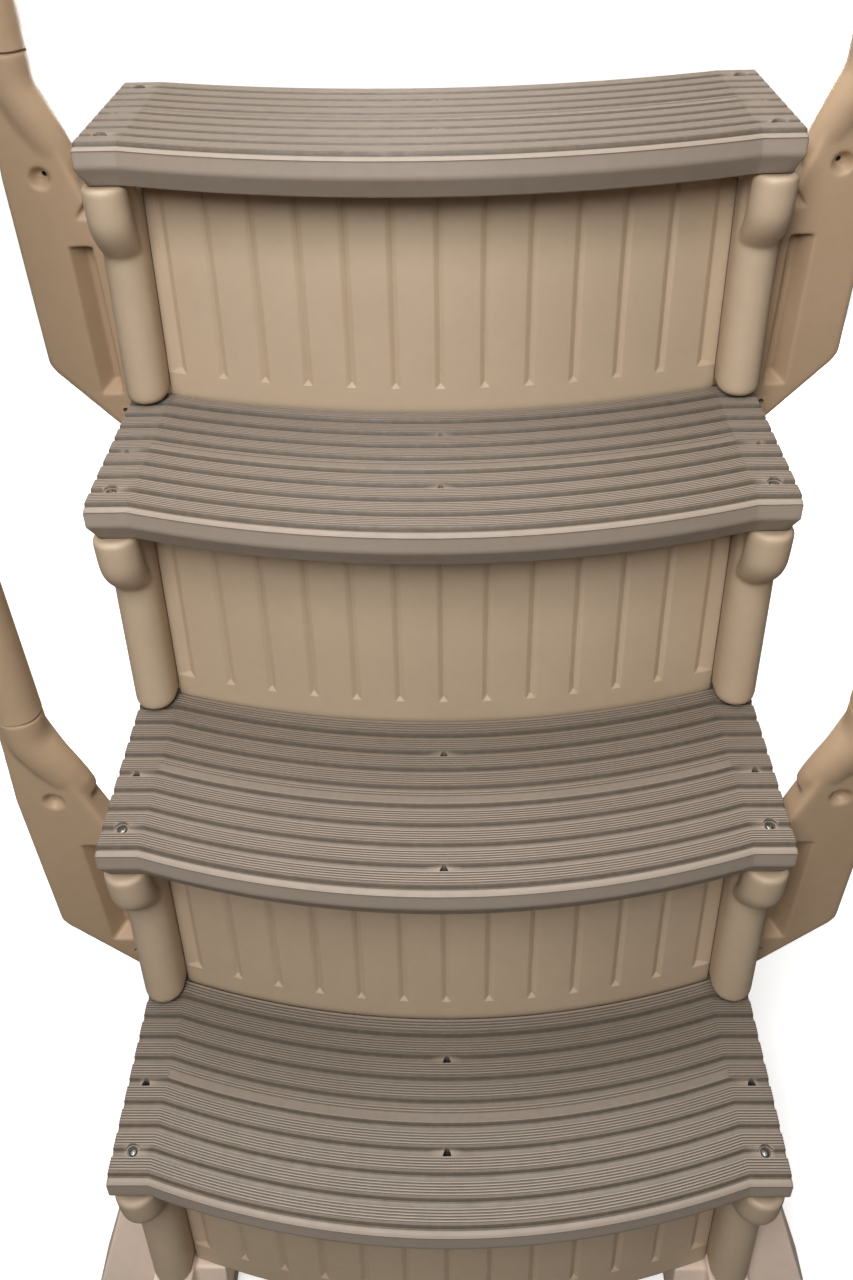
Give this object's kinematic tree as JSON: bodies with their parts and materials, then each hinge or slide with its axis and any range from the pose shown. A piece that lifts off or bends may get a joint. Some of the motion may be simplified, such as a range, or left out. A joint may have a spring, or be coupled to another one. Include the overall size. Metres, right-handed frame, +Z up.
{
  "type": "pool step ladder",
  "caption": "In-pool step ladder with bowed ribbed treads, curved riser panels, moulded posts, looped handrails and sliding deck brackets.",
  "frame": {"origin": "on the floor, at the centre of the ladder's outline seen from above", "axes": "+Z up; +Y from the lowest step towards the pool wall; +X to the right of a person who faces the steps"},
  "size_m": [0.988, 1.0754, 2.1475],
  "materials": {
    "sand_plastic": "sand-coloured blow-moulded polyethylene, soft satin",
    "taupe_plastic": "taupe moulded polyethylene with a ribbed non-slip top",
    "stainless": "plain stainless steel"
  },
  "bodies": {
    "ladder": {"base_crossbar_front": "sand_plastic", "base_crossbar_rear": "sand_plastic", "base_leg_front_left": "sand_plastic", "base_leg_front_right": "sand_plastic", "base_leg_rear_left": "sand_plastic", "base_leg_rear_right": "sand_plastic", "bracket_bolt_lower_left_high": "stainless", "bracket_bolt_lower_left_low": "stainless", "bracket_bolt_lower_right_high": "stainless", "bracket_bolt_lower_right_low": "stainless", "bracket_bolt_upper_left_high": "stainless", "bracket_bolt_upper_left_low": "stainless", "bracket_bolt_upper_right_high": "stainless", "bracket_bolt_upper_right_low": "stainless", "deck_bolt_left_high": "stainless", "deck_bolt_left_low": "stainless", "deck_bolt_right_high": "stainless", "deck_bolt_right_low": "stainless", "handrail_left": "sand_plastic", "handrail_right": "sand_plastic", "post_left_1": "sand_plastic", "post_left_2": "sand_plastic", "post_left_3": "sand_plastic", "post_left_4": "sand_plastic", "post_right_1": "sand_plastic", "post_right_2": "sand_plastic", "post_right_3": "sand_plastic", "post_right_4": "sand_plastic", "rail_bracket_lower_left": "sand_plastic", "rail_bracket_lower_right": "sand_plastic", "rail_bracket_upper_left": "sand_plastic", "rail_bracket_upper_right": "sand_plastic", "rail_screw_lower_left": "stainless", "rail_screw_lower_right": "stainless", "rail_screw_upper_left": "stainless", "rail_screw_upper_right": "stainless", "riser_panel_1": "sand_plastic", "riser_panel_2": "sand_plastic", "riser_panel_3": "sand_plastic", "riser_panel_4": "sand_plastic", "side_panel_left": "sand_plastic", "side_panel_right": "sand_plastic", "tread_1": "taupe_plastic", "tread_2": "taupe_plastic", "tread_3": "taupe_plastic", "tread_4": "taupe_plastic", "tread_screw_back_left": "stainless", "tread_screw_back_right": "stainless", "tread_screw_front_left_1": "stainless", "tread_screw_front_left_2": "stainless", "tread_screw_front_left_3": "stainless", "tread_screw_front_left_4": "stainless", "tread_screw_front_right_1": "stainless", "tread_screw_front_right_2": "stainless", "tread_screw_front_right_3": "stainless", "tread_screw_front_right_4": "stainless"},
    "deck_bracket_left": {"deck_bracket_left": "stainless"},
    "deck_bracket_right": {"deck_bracket_right": "stainless"}
  },
  "joints": [
    {"name": "deck_bracket_left_slide", "type": "slide", "parent": "ladder", "child": "deck_bracket_left", "axis": [0, 0, 1], "range_m": [0, 0.153]},
    {"name": "deck_bracket_right_slide", "type": "slide", "parent": "ladder", "child": "deck_bracket_right", "axis": [0, 0, 1], "range_m": [0, 0.153]}
  ]
}
